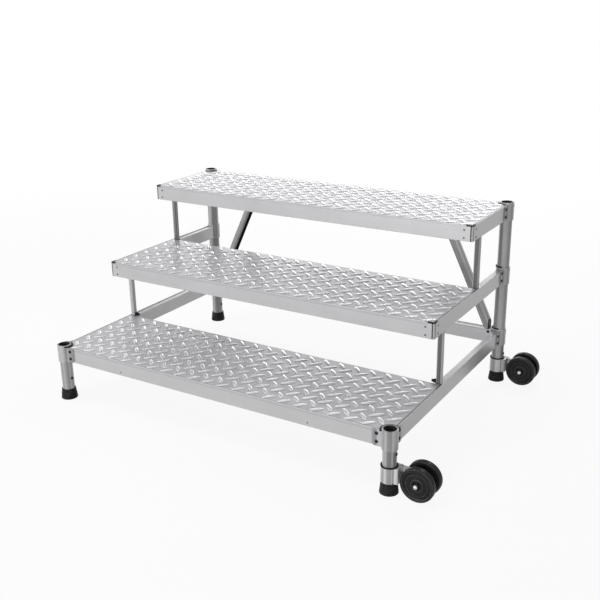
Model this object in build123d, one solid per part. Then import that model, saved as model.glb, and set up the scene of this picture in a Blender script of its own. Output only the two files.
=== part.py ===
"""Rolling step ladder: a wide aluminium three-step platform on four tube legs.

Box rails carry three checker plate treads. Extruded sockets clamp the rails to the legs,
and two twin wheels stand on brackets beside the right-hand legs, so that the platform
rolls away sideways when its left end is lifted.

Millimetres. X runs across the steps, Y from the front step to the back, Z up.
The origin is on the floor, below the middle of the box that holds everything.
"""
from build123d import *
import math
import os

# Layout of the legs and the steps
leg_spacing_x = 1200.0
leg_spacing_y = 846.0
bottom_height = 187.0
step_rise = 219.0
step_pitch = 266.0
tread_depth = 338.0
face_offset = 8.0

# Leg tubes and their feet
leg_radius = 20.0
leg_wall = 2.0
leg_rise = 6.0
foot_floor = 6.0
foot_height = 35.0
foot_top_radius = 23.2
foot_base_radius = 27.0
foot_lip = 4.0
foot_groove_pitch = 8.0
foot_groove_width = 1.6
foot_groove_depth = 1.2
foot_groove_count = 2
sleeve_play = 0.15

# Box rails
rail_height = 50.0
rail_width = 22.0
rail_wall = 2.5
rail_edge = 1.5
bead_width = 3.0
bead_edge = 0.8
cross_rail_height = 40.0
drain_radius = 2.2
drain_spacing = 695.0
drain_height = 11.0

# Checker plate treads
plate_thickness = 3.0
plate_gap = 0.5

# Sockets that clamp the rails to the legs
socket_wall = 3.0
socket_drop = 3.0
socket_rise = 5.0
flange_reach = 26.0
flange_thickness = 3.0
flange_chamfer = 6.0
seat_gap = 0.3
filler_width = 6.0
filler_rise = 1.0

# Corner pieces of the middle and the top step
nose_radius = 7.0
corner_wall = 3.0
groove_width = 3.4
groove_depth = 2.4
groove_offset = 6.6
cap_width = 6.0
cap_rise = 1.0

# Posts under the steps and braces at the back
post_radius = 10.0
post_wall = 1.5
post_gap = 1.5
brace_width = 25.0
brace_depth = 25.0
brace_wall = 2.0
brace_edge = 3.0
brace_foot_offset = 34.0
brace_run = 186.0
brace_cut_reach = 2.0
brace_cap_thickness = 3.0

# Wheel brackets
bracket_base = 36.0
bracket_height = 46.0
bracket_wall = 4.0
bracket_slit = 2.5
ear_reach = 11.0
ear_front = 13.0
arm_thickness = 14.0
arm_height = 10.0
arm_drop = 2.0
arm_knee = 18.0
arm_knee_radius = 5.0
boss_radius = 14.0
liner_width = 4.6
liner_height = 2.6

# Twin wheels and their axles
wheel_clearance = 5.5
wheel_setback = 16.0
wheel_radius = 50.0
wheel_floor_gap = 1.0
wheel_width = 20.0
wheel_gap = 26.0
wheel_edge = 4.0
rim_inner_radius = 41.0
dish_depth = 3.5
web_radius = 36.0
hub_radius = 15.0
hub_clearance = 1.0
pocket_radius = 11.0
pocket_depth = 9.0
axle_radius = 5.0
axle_play = 0.05
axle_head_radius = 6.5
axle_head_height = 11.0
axle_head_edge = 3.0
axle_head_gap = 0.6

# Sizes that follow from those above
OVERRUN = 2.0 * leg_radius
leg_x = leg_spacing_x / 2
half_width = leg_x + face_offset
sleeve_bore = leg_radius + sleeve_play
socket_radius = sleeve_bore + socket_wall
rail_end_gap = socket_radius + seat_gap
plate_inset = bead_width + plate_gap
rear_face = leg_spacing_y + face_offset
top_height = bottom_height + 2 * step_rise
notch_radius = socket_radius + filler_width + seat_gap
brace_y = rear_face - rail_width / 2
brace_foot_x = leg_x - brace_foot_offset
brace_top_x = brace_foot_x - brace_run
brace_cut_x = min(brace_foot_x + brace_cut_reach, leg_x - rail_end_gap)
bracket_radius = sleeve_bore + bracket_wall
bracket_top = bracket_base + bracket_height
ear_start = math.sqrt(bracket_radius**2 - ear_front**2)
ear_end = ear_start + ear_reach
twin_width = 2 * wheel_width + wheel_gap
wheel_reach = ear_end + wheel_clearance + wheel_radius
wheel_x = leg_x + wheel_reach
wheel_z = wheel_radius + wheel_floor_gap
axle_half = twin_width / 2 - pocket_depth + axle_head_gap
axle_reach = max(axle_half + axle_head_height, twin_width / 2)

# The middle of the box: the left feet and the wheels are its ends
centre_x = (wheel_x + wheel_radius - leg_x - foot_base_radius) / 2
centre_y = (leg_spacing_y + wheel_setback + axle_reach - foot_base_radius) / 2

# Steps: name, place in the flight
STEPS = (("bottom", 0), ("middle", 1), ("top", 2))
# Sides: name, direction along X
SIDES = (("left", -1), ("right", 1))
# Ends: name, place along Y, direction outward along Y, height of the leg's top step
ENDS = (
    ("front", 0.0, -1, bottom_height),
    ("rear", leg_spacing_y, 1, top_height),
)

UP = Vector(0, 0, 1)
ALIGN_BASE = (Align.CENTER, Align.CENTER, Align.MIN)


def step_height(index):
    """Height of a tread's top."""
    return bottom_height + index * step_rise


def step_face(index):
    """Place along Y of a step's front face."""
    return index * step_pitch - face_offset


def tube(radius, wall, height):
    """An upright round tube that stands on the origin."""
    outer = Cylinder(radius, height, align=ALIGN_BASE)
    return outer - Cylinder(radius - wall, height, align=ALIGN_BASE)


def box_between(low, high):
    """A box given by its low and high corners."""
    size = [b - a for a, b in zip(low, high)]
    return Pos(*low) * Box(*size, align=Align.MIN)


def rail_section():
    """Hollow rail section: outer face on the Y axis, top of the bead at zero."""
    outline = Polygon(
        (0, 0),
        (-bead_width, 0),
        (-bead_width, -plate_thickness),
        (-rail_width, -plate_thickness),
        (-rail_width, -rail_height),
        (0, -rail_height),
        align=None,
    )
    low = outline.vertices().group_by(Axis.Y)[0]
    outline = fillet(low, rail_edge)
    top = outline.vertices().group_by(Axis.Y)[-1]
    outline = fillet(top, bead_edge)
    hollow_height = rail_height - plate_thickness - 2 * rail_wall
    hollow = Pos(-rail_width / 2, rail_wall - rail_height) * Rectangle(
        rail_width - 2 * rail_wall, hollow_height, align=(Align.CENTER, Align.MIN)
    )
    return outline - hollow


def rail(middle, outward, length):
    """A rail whose outer top edge runs through middle and faces outward."""
    outward = Vector(*outward)
    plane = Plane(origin=middle, x_dir=outward, z_dir=outward.cross(UP))
    return extrude(plane * rail_section(), amount=length / 2, both=True)


def front_rail(index):
    """The fascia below a tread's front edge."""
    if index == 0:
        length = leg_spacing_x - 2 * rail_end_gap
    else:
        length = 2 * (half_width - rail_width)
    piece = rail((0, step_face(index), step_height(index)), (0, -1, 0), length)
    if index == 0:
        drill = Rot(90, 0, 0) * Cylinder(drain_radius, 2 * rail_wall)
        height = step_height(index) - rail_height + drain_height
        for side in (-1, 1):
            piece -= Pos(side * drain_spacing / 2, step_face(index), height) * drill
    return piece


def rear_rail(height):
    """A rail between the two rear legs."""
    return rail((0, rear_face, height), (0, 1, 0), leg_spacing_x - 2 * rail_end_gap)


def side_rail(index, side):
    """The rail from a step's front corner back to the rear leg."""
    start = rail_end_gap if index == 0 else step_face(index) + rail_width
    end = leg_spacing_y - rail_end_gap
    middle = (side * half_width, (start + end) / 2, step_height(index))
    return rail(middle, (side, 0, 0), end - start)


def cross_rail(index):
    """The box tube below the rear edge of a lower tread."""
    back = step_face(index) + tread_depth
    top = step_height(index) - plate_thickness
    half = half_width - rail_width
    outer = Rectangle(rail_width, cross_rail_height)
    outer = fillet(outer.vertices(), rail_edge)
    hollow = Rectangle(rail_width - 2 * rail_wall, cross_rail_height - 2 * rail_wall)
    plane = Plane(
        origin=(0, back - rail_width / 2, top - cross_rail_height / 2),
        x_dir=(0, 1, 0),
        z_dir=(1, 0, 0),
    )
    return extrude(plane * (outer - hollow), amount=half, both=True)


def corner_outline(side):
    """Plan of a front corner piece, its outer corner at the origin and rounded."""
    low_x = 0.0 if side < 0 else -rail_width
    block = Pos(low_x, 0) * Rectangle(rail_width, rail_width, align=Align.MIN)
    nose = block.vertices().sort_by_distance((0, 0))[0]
    return fillet(nose, nose_radius)


def corner_piece(index, side):
    """The extruded nose that joins a front rail to a side rail."""
    plan = corner_outline(side)
    middle = Pos(-side * rail_width / 2, rail_width / 2)
    inner = rail_width - 2 * corner_wall
    plan -= middle * Rectangle(inner, inner)
    across = Pos(-side * groove_offset, 0) * Rectangle(groove_width, 2 * groove_depth)
    along = Pos(0, groove_offset) * Rectangle(2 * groove_depth, groove_width)
    plan -= across
    plan -= along
    base = step_height(index) - rail_height
    height = rail_height - plate_thickness
    corner = Pos(side * half_width, step_face(index), base)
    return corner * extrude(plan, amount=height)


def corner_cap(index, side):
    """The dark angle that lies on a corner piece, outside the plate."""
    plan = corner_outline(side)
    inner = rail_width - cap_width
    plan -= Pos(-side * (cap_width + inner), cap_width) * Rectangle(
        inner, inner, align=(Align.MIN if side > 0 else Align.MAX, Align.MIN)
    )
    base = step_height(index) - plate_thickness
    corner = Pos(side * half_width, step_face(index), base)
    return corner * extrude(plan, amount=plate_thickness + cap_rise)


def tread(index):
    """The plate that lies flush inside the beads, cut out around what stands in it."""
    top = step_height(index)
    front = step_face(index) + plate_inset
    if index == 2:
        back = rear_face - plate_inset
    else:
        back = step_face(index) + tread_depth
    half = half_width - plate_inset
    plate = box_between((-half, front, top - plate_thickness), (half, back, top))
    for _, side in SIDES:
        if index > 0:
            cap = cap_width + plate_gap
            corner = (side * half_width, step_face(index), top - plate_thickness)
            cut = Box(2 * cap, 2 * (rail_width + plate_gap), 2 * plate_thickness)
            cut += Box(2 * (rail_width + plate_gap), 2 * cap, 2 * plate_thickness)
            plate -= Pos(*corner) * cut
        if index != 1:
            leg_y = 0.0 if index == 0 else leg_spacing_y
            hole = Cylinder(notch_radius, 2 * plate_thickness)
            plate -= Pos(side * leg_x, leg_y, top) * hole
    return plate


def leg(side, end_y, step_top):
    """A leg tube, from the floor of its foot to just above its highest tread."""
    height = step_top + leg_rise - foot_floor
    return Pos(side * leg_x, end_y, foot_floor) * tube(leg_radius, leg_wall, height)


def foot(side, end_y):
    """A rubber cap over the end of a leg: a lip, a tapered skirt and grooves round it."""
    outline = Polygon(
        (0, 0),
        (foot_base_radius, 0),
        (foot_base_radius, foot_lip),
        (foot_top_radius, foot_height),
        (sleeve_bore, foot_height),
        (sleeve_bore, foot_floor),
        (0, foot_floor),
        align=None,
    )
    cap = revolve(Plane.XZ * outline, Axis.Z)
    taper = (foot_base_radius - foot_top_radius) / (foot_height - foot_lip)
    for number in range(1, foot_groove_count + 1):
        height = foot_lip + number * foot_groove_pitch
        radius = foot_base_radius - taper * (height - foot_lip)
        groove = Cylinder(foot_base_radius, foot_groove_width)
        groove -= Cylinder(radius - foot_groove_depth, foot_groove_width)
        cap -= Pos(0, 0, height) * groove
    return Pos(side * leg_x, end_y, 0) * cap


def flange(step_top, direction, inward):
    """A plate on a rail's outer face: direction points outward, inward along the rail."""
    reach = socket_radius + flange_reach
    plan = Polygon(
        (0, -rail_height),
        (reach, -rail_height),
        (reach, 0),
        (0, 0),
        align=None,
    )
    far = plan.vertices().sort_by_distance((reach, -rail_height))[0]
    plan = chamfer(far, flange_chamfer)
    outward = Vector(*direction)
    along = Vector(*inward)
    normal = along.cross(UP)
    plane = Plane(origin=outward * face_offset + UP * step_top, x_dir=along, z_dir=normal)
    amount = flange_thickness if normal.dot(outward) > 0 else -flange_thickness
    return extrude(plane * plan, amount=amount)


def socket(index, side, end_y, outward, rail_across=True):
    """The sleeve that clamps the rails of one step to a leg."""
    top = step_height(index)
    base = top - rail_height - socket_drop
    sleeve = Pos(0, 0, base) * Cylinder(
        socket_radius, rail_height + socket_drop + socket_rise, align=ALIGN_BASE
    )
    sleeve += flange(top, (side, 0, 0), (0, -outward, 0))
    if rail_across:
        sleeve += flange(top, (0, outward, 0), (-side, 0, 0))
    bore = Cylinder(sleeve_bore, rail_height + 2 * OVERRUN)
    sleeve -= Pos(0, 0, top - rail_height / 2) * bore
    return Pos(side * leg_x, end_y, 0) * sleeve


def filler(index, side, end_y, outward):
    """The dark crescent between a socket and the cut-out of the plate."""
    inner = socket_radius + seat_gap
    height = plate_thickness + filler_rise
    ring = Cylinder(inner + filler_width - seat_gap, height, align=ALIGN_BASE)
    ring -= Cylinder(inner, height, align=ALIGN_BASE)
    reach = face_offset - plate_inset
    low = (-OVERRUN, -OVERRUN, 0)
    high = (OVERRUN, OVERRUN, height)
    if side > 0:
        high = (reach, high[1], high[2])
    else:
        low = (-reach, low[1], low[2])
    if outward > 0:
        high = (high[0], reach, high[2])
    else:
        low = (low[0], -reach, low[2])
    ring &= box_between(low, high)
    return Pos(side * leg_x, end_y, step_height(index) - plate_thickness) * ring


def post(index, side):
    """An upright tube on a side rail, below the side rail of the next step."""
    base = step_height(index) - plate_thickness
    height = step_height(index + 1) - rail_height - base
    x = half_width - bead_width - post_radius
    y = step_face(index) + tread_depth + post_gap + post_radius
    return Pos(side * x, y, base) * tube(post_radius, post_wall, height)


def brace_bar(hollow):
    """A straight bar along a rear brace's line, longer than the brace, on the right side."""
    top = Vector(brace_top_x, brace_y, top_height - rail_height)
    low = Vector(brace_foot_x, brace_y, bottom_height)
    line = (top - low).normalized()
    outer = Rectangle(brace_width, brace_depth)
    outer = fillet(outer.vertices(), brace_edge)
    if hollow:
        outer -= Rectangle(brace_width - 2 * brace_wall, brace_depth - 2 * brace_wall)
    plane = Plane(origin=(top + low) / 2, x_dir=line.cross(Vector(0, 1, 0)), z_dir=line)
    length = (top - low).length / 2 + brace_width
    return extrude(plane * outer, amount=length, both=True)


def brace_part(near, far, hollow):
    """The stretch of a brace between two distances from the middle, above the rear rail."""
    keep = box_between(
        (near, brace_y - brace_depth, bottom_height),
        (far, brace_y + brace_depth, top_height - rail_height),
    )
    return brace_bar(hollow) & keep


def brace(side):
    """The hollow tube that leans outward from the top rear rail to the lower one."""
    piece = brace_part(0, brace_cut_x - brace_cap_thickness, True)
    return piece if side > 0 else mirror(piece, Plane.YZ)


def brace_end(side):
    """The dark cap on the upright cut beside the leg, standing on the rear rail's bead."""
    piece = brace_part(brace_cut_x - brace_cap_thickness, brace_cut_x, False)
    return piece if side > 0 else mirror(piece, Plane.YZ)


def bracket(end_y):
    """Clamp sleeve, ear and arm that hold one axle beside a right-hand leg."""
    sleeve = Pos(0, 0, bracket_base) * Cylinder(bracket_radius, bracket_height, align=ALIGN_BASE)
    arm_back = wheel_setback + arm_thickness / 2
    sleeve += box_between((0, -ear_front, bracket_base), (ear_end, arm_back, bracket_top))
    beam_base = bracket_top - arm_drop - arm_height
    knee_x = ear_end + arm_knee
    beam = Pos(ear_start, beam_base) * Rectangle(knee_x - ear_start, arm_height, align=Align.MIN)
    knee = Pos(knee_x, beam_base + arm_height - arm_knee_radius) * Circle(arm_knee_radius)
    boss = Pos(wheel_reach, wheel_z) * Circle(boss_radius)
    link = make_hull(knee.edges() + boss.edges())
    plane = Plane(origin=(0, arm_back, 0), x_dir=(1, 0, 0), z_dir=(0, -1, 0))
    sleeve += extrude(plane * (beam + link), amount=arm_thickness)
    middle = Pos(0, 0, bracket_base + bracket_height / 2)
    sleeve -= middle * Cylinder(sleeve_bore, bracket_height + OVERRUN)
    slit = Box(2 * bracket_wall, bracket_slit, bracket_height + OVERRUN)
    turn = math.degrees(math.asin((ear_front + bracket_slit) / bracket_radius))
    sleeve -= middle * Rot(0, 0, -turn) * Pos(sleeve_bore + bracket_wall / 2, 0) * slit
    sleeve -= Pos(wheel_reach, wheel_setback, wheel_z) * axle_hole()
    return Pos(leg_x, end_y, 0) * sleeve


def axle_hole():
    """The bore that an axle passes through, along Y."""
    return Rot(90, 0, 0) * Cylinder(axle_radius + axle_play, 2 * twin_width)


def liner(end_y):
    """The dark ring on top of a bracket's sleeve."""
    ring = tube(sleeve_bore + liner_width, liner_width, liner_height)
    return Pos(leg_x, end_y, bracket_top) * ring


def axle(end_y):
    """The axle, with a cap nut that stands in each wheel's pocket."""
    pin = Cylinder(axle_radius, 2 * axle_half)
    nut = Cylinder(axle_head_radius, axle_head_height, align=ALIGN_BASE)
    nut = Pos(0, 0, axle_half) * chamfer(nut.edges().group_by(Axis.Z)[-1], axle_head_edge)
    pin += nut
    pin += mirror(nut, Plane.XY)
    return Pos(wheel_x, end_y + wheel_setback, wheel_z) * Rot(90, 0, 0) * pin


def wheel_disc():
    """One wheel about Z, its outer face on top at half the twin's width."""
    face = twin_width / 2
    back = face - wheel_width
    arm_face = arm_thickness / 2 + hub_clearance
    bore = axle_radius + axle_play
    outline = Polygon(
        (bore, face - pocket_depth),
        (pocket_radius, face - pocket_depth),
        (pocket_radius, face - dish_depth),
        (web_radius, face - dish_depth),
        (rim_inner_radius, face),
        (wheel_radius - wheel_edge, face),
        (wheel_radius, face - wheel_edge),
        (wheel_radius, back + wheel_edge),
        (wheel_radius - wheel_edge, back),
        (hub_radius, back),
        (hub_radius, arm_face),
        (bore, arm_face),
        align=None,
    )
    return revolve(Plane.XZ * outline, Axis.Z)


def wheels(end_y):
    """The two wheels of one axle."""
    disc = wheel_disc()
    pair = [disc, mirror(disc, Plane.XY)]
    place = Pos(wheel_x, end_y + wheel_setback, wheel_z) * Rot(90, 0, 0)
    return [place * one for one in pair]


def collect():
    """Every node of the platform: name to its solid, or to a list of solids."""
    nodes = {}
    for step, index in STEPS:
        nodes[f"tread_{step}"] = tread(index)
        nodes[f"front_rail_{step}"] = front_rail(index)
        for side_name, side in SIDES:
            nodes[f"side_rail_{side_name}_{step}"] = side_rail(index, side)
            nodes[f"socket_rear_{side_name}_{step}"] = socket(
                index, side, leg_spacing_y, 1, rail_across=index != 1
            )
            if index > 0:
                nodes[f"corner_{side_name}_{step}"] = corner_piece(index, side)
            if index < 2:
                nodes[f"post_{side_name}_{step}"] = post(index, side)
        if index < 2:
            nodes[f"cross_rail_{step}"] = cross_rail(index)
        if index != 1:
            nodes[f"rear_rail_{step}"] = rear_rail(step_height(index))
    for side_name, side in SIDES:
        nodes[f"socket_front_{side_name}"] = socket(0, side, 0.0, -1)
        nodes[f"brace_{side_name}"] = brace(side)
        nodes[f"brace_end_{side_name}"] = brace_end(side)
        for end_name, end_y, outward, step_top in ENDS:
            nodes[f"leg_{end_name}_{side_name}"] = leg(side, end_y, step_top)
            nodes[f"foot_{end_name}_{side_name}"] = foot(side, end_y)
    nodes["corner_caps"] = [
        corner_cap(index, side) for index in (1, 2) for _, side in SIDES
    ]
    nodes["socket_fillers"] = [
        filler(index, side, end_y, outward)
        for index, (_, end_y, outward, _) in zip((0, 2), ENDS)
        for _, side in SIDES
    ]
    for end_name, end_y, _, _ in ENDS:
        nodes[f"wheel_bracket_{end_name}"] = bracket(end_y)
        nodes[f"bracket_liner_{end_name}"] = liner(end_y)
        nodes[f"axle_{end_name}"] = axle(end_y)
        nodes[f"wheels_{end_name}"] = wheels(end_y)
    return nodes


def export(nodes):
    """Write one STEP file for each node, moved so that the origin is the box's middle."""
    os.makedirs("parts", exist_ok=True)
    shift = Pos(-centre_x, -centre_y, 0)
    for name, shape in nodes.items():
        solids = shape if isinstance(shape, list) else shape.solids()
        moved = [shift * solid for one in solids for solid in one.solids()]
        export_step(moved[0] if len(moved) == 1 else Compound(children=moved), f"parts/{name}.step")


export(collect())
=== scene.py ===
"""Looks of the rolling step ladder: its finishes, the checker plate's bars, the bolts and
screws, the ribbed feet, the wheels, and the studio that it stands in.

Metres, in the part's own frame: X across the steps towards the wheels, Y from the front
step to the back, Z up, with the floor at zero.
"""

import logging
import math
from dataclasses import dataclass, field, replace
from enum import Enum
from typing import Any, Iterable, Sequence

import bpy
import numpy as np
from mathutils import Matrix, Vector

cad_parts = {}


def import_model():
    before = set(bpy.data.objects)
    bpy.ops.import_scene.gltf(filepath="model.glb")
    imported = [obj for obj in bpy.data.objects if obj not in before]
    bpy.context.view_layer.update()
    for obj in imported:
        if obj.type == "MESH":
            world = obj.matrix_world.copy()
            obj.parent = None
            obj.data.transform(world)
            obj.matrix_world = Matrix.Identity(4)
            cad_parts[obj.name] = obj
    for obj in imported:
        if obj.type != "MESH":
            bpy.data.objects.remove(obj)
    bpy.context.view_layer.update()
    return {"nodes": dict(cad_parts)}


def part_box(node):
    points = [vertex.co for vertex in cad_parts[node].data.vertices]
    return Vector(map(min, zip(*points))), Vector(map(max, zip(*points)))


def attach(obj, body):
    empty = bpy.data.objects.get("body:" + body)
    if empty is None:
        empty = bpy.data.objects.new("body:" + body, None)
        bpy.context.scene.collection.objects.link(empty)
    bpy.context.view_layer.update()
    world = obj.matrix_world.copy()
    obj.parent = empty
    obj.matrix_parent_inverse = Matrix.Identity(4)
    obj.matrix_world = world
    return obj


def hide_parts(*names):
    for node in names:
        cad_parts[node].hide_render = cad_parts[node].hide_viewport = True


LOG = logging.getLogger("step_ladder")
MM = 0.001

Colour = tuple[float, float, float]
Vec = tuple[float, float, float]

TUBE_COLOUR: Colour = (0.43, 0.43, 0.44)
TUBE_METALLIC = 0.12
TUBE_ROUGHNESS = 0.28
BEAD_DEPTH = 4.6 * MM
BRACE_RUN = 186 * MM
WHITE = (1.0, 1.0, 1.0, 1.0)


class Axis(Enum):
    """A direction of the part's frame."""

    X = (1.0, 0.0, 0.0)
    Y = (0.0, 1.0, 0.0)
    Z = (0.0, 0.0, 1.0)


class Named(Enum):
    """A choice whose name is part of the nodes' names."""

    @property
    def label(self) -> str:
        """The name as the nodes spell it."""
        return self.name.lower()


class Side(Named):
    """A side of the platform, with its outward direction along X."""

    LEFT = -1
    RIGHT = 1

    def outer(self, node: str) -> float:
        """The x of a node's face on this side."""
        low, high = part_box(node)
        return high.x if self is Side.RIGHT else low.x


class End(Named):
    """An end of the platform, with its outward direction along Y."""

    FRONT = -1
    REAR = 1


class Step(Named):
    """A step of the flight, from the lowest up."""

    BOTTOM = 0
    MIDDLE = 1
    TOP = 2


LOWER_STEPS = (Step.BOTTOM, Step.MIDDLE)
UPPER_STEPS = (Step.MIDDLE, Step.TOP)


# Shader maths


class Value:
    """A node's output that can stand in a sum: each operator adds one Math node."""

    def __init__(self, graph: "Graph", socket: bpy.types.NodeSocket) -> None:
        """Wrap an output socket of one of the graph's nodes."""
        self.graph = graph
        self.socket = socket

    def math(self, operation: str, *others: Any) -> "Value":
        """A Math node on this value and the others."""
        return self.graph.math(operation, self, *others)

    def __add__(self, other: Any) -> "Value":
        """This value plus another."""
        return self.math("ADD", other)

    def __sub__(self, other: Any) -> "Value":
        """This value less another."""
        return self.math("SUBTRACT", other)

    def __rsub__(self, other: Any) -> "Value":
        """Another value less this one."""
        return self.graph.math("SUBTRACT", other, self)

    def __mul__(self, other: Any) -> "Value":
        """This value times another."""
        return self.math("MULTIPLY", other)

    def __truediv__(self, other: Any) -> "Value":
        """This value divided by another."""
        return self.math("DIVIDE", other)

    def __pow__(self, other: Any) -> "Value":
        """This value to a power."""
        return self.math("POWER", other)

    def __abs__(self) -> "Value":
        """This value without its sign."""
        return self.math("ABSOLUTE")

    __radd__ = __add__
    __rmul__ = __mul__

    def between(self, low: float, high: float) -> "Value":
        """Zero below low, one above high, and a smooth step between them."""
        inputs = {"Value": self, "From Min": low, "From Max": high}
        return self.graph.add("ShaderNodeMapRange", inputs, interpolation_type="SMOOTHSTEP")

    def near(self, levels: Sequence[float], half: float, core: float) -> "Value":
        """Lines where this value is near a level: one less the step of |value - level|.

        Args:
            levels: the value in the middle of each line.
            half: half of a line's width.
            core: the share of that half in which the line has its full strength.

        Returns:
            One on a line, zero between the lines.
        """
        lines = [1.0 - abs(self - level).between(core * half, half) for level in levels]
        mask = lines[0]
        for line in lines[1:]:
            mask = mask.math("MAXIMUM", line)
        return mask


class Graph:
    """The nodes of one material or of the world."""

    def __init__(self, owner: bpy.types.Material | bpy.types.World) -> None:
        """Empty the owner's node tree.

        Args:
            owner: the material or world to build.
        """
        owner.use_nodes = True
        self.tree = owner.node_tree
        self.tree.nodes.clear()
        world = isinstance(owner, bpy.types.World)
        self.output = "ShaderNodeOutputWorld" if world else "ShaderNodeOutputMaterial"

    def new(self, kind: str, inputs: dict[str | int, Any] | None = None,
            **settings: Any) -> bpy.types.Node:
        """Make a node: its settings first, then the values and links of its sockets.

        Args:
            kind: the node's type.
            inputs: a number, a colour or a Value for each socket, by name or number.
            settings: the node's own properties.

        Returns:
            The node.
        """
        node = self.tree.nodes.new(kind)
        for name, setting in settings.items():
            setattr(node, name, setting)
        for name, value in (inputs or {}).items():
            if isinstance(value, Value):
                self.tree.links.new(value.socket, node.inputs[name])
            else:
                node.inputs[name].default_value = value
        return node

    def add(self, kind: str, inputs: dict[str | int, Any] | None = None,
            output: str | int = 0, **settings: Any) -> Value:
        """Make a node as new does, and give back the chosen output."""
        return Value(self, self.new(kind, inputs, **settings).outputs[output])

    def math(self, operation: str, *values: Any) -> Value:
        """A Math node on values and numbers in order."""
        return self.add("ShaderNodeMath", dict(enumerate(values)), operation=operation)

    def vector(self, operation: str, first: Any, second: Any, output: str = "Vector") -> Value:
        """A Vector Math node on two vectors."""
        inputs = {0: first, 1: second}
        return self.add("ShaderNodeVectorMath", inputs, output, operation=operation)

    def mix(self, share: Any, first: Any, second: Any) -> Value:
        """Mix two colours; the node's sockets 6 and 7 are colours, and so is its output 2.

        Args:
            share: how much of the second, from 0 to 1.
            first: a colour or a Value.
            second: a colour or a Value.

        Returns:
            The mixed colour.
        """
        inputs = {0: share}
        for socket, colour in ((6, first), (7, second)):
            inputs[socket] = colour if isinstance(colour, Value) else (*colour, 1.0)
        return self.add("ShaderNodeMix", inputs, 2, data_type="RGBA", clamp_factor=True)

    def place(self, scale: Vec = (1.0, 1.0, 1.0), centre: Vec = (0.0, 0.0, 0.0)) -> Value:
        """Object coordinates from a centre, stretched.

        Args:
            scale: the factor on each axis.
            centre: the point that becomes zero.

        Returns:
            The coordinates as a vector.
        """
        point = self.add("ShaderNodeTexCoord", output="Object")
        return self.vector("MULTIPLY", self.vector("SUBTRACT", point, centre), scale)

    def xyz(self, centre: Vec = (0.0, 0.0, 0.0)) -> list[Value]:
        """Object coordinates from a centre, as three values."""
        node = self.new("ShaderNodeSeparateXYZ", {0: self.place(centre=centre)})
        return [Value(self, socket) for socket in node.outputs]

    def squeezed(self, direction: Vec, share: float) -> Value:
        """Object coordinates squeezed along a direction: p - (1 - share) (p . d) d.

        Args:
            direction: the direction d, one long.
            share: what is left of the lengths along it.

        Returns:
            The coordinates as a vector.
        """
        point = self.place()
        along = self.vector("DOT_PRODUCT", point, direction, "Value") * (1.0 - share)
        return self.vector("SUBTRACT", point, self.vector("MULTIPLY", direction, along))

    def noise(self, scale: float, detail: float = 2.0, roughness: float = 0.6,
              vector: Value | None = None) -> Value:
        """Noise between 0 and 1.

        Args:
            scale: its waves in each unit of the vector.
            detail: how many finer layers it has.
            roughness: how strong the finer layers are.
            vector: where to read it, at plain Object coordinates if none is given.

        Returns:
            The noise.
        """
        inputs = {"Vector": vector or self.place(), "Scale": scale, "Detail": detail,
                  "Roughness": roughness}
        return self.add("ShaderNodeTexNoise", inputs)

    def bump(self, height: Value, strength: float, distance: float) -> Value:
        """A normal from a height, where 1 is the full distance in metres."""
        inputs = {"Height": height, "Strength": strength, "Distance": distance}
        return self.add("ShaderNodeBump", inputs)

    def blend(self, share: Any, first: Value, second: Value) -> Value:
        """Two shaders, with this share of the second."""
        return self.add("ShaderNodeMixShader", {0: share, 1: first, 2: second})

    def surface(self, shader: Value) -> None:
        """Make a shader the owner's surface."""
        self.new(self.output, {"Surface": shader})


def shaded(colour: Colour, factor: float) -> Colour:
    """A colour made darker or lighter, at most white."""
    return tuple(min(1.0, part * factor) for part in colour)


# Finishes


@dataclass(frozen=True)
class Finish:
    """A finish of the object: its name and how it is mixed."""

    name: str

    def material(self) -> bpy.types.Material:
        """Build the material.

        Returns:
            The new material.
        """
        material = bpy.data.materials.new(self.name)
        graph = Graph(material)
        graph.surface(self.shader(graph))
        return material

    def shader(self, graph: Graph) -> Value:
        """The surface's shader; each finish gives its own."""
        raise NotImplementedError


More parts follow.
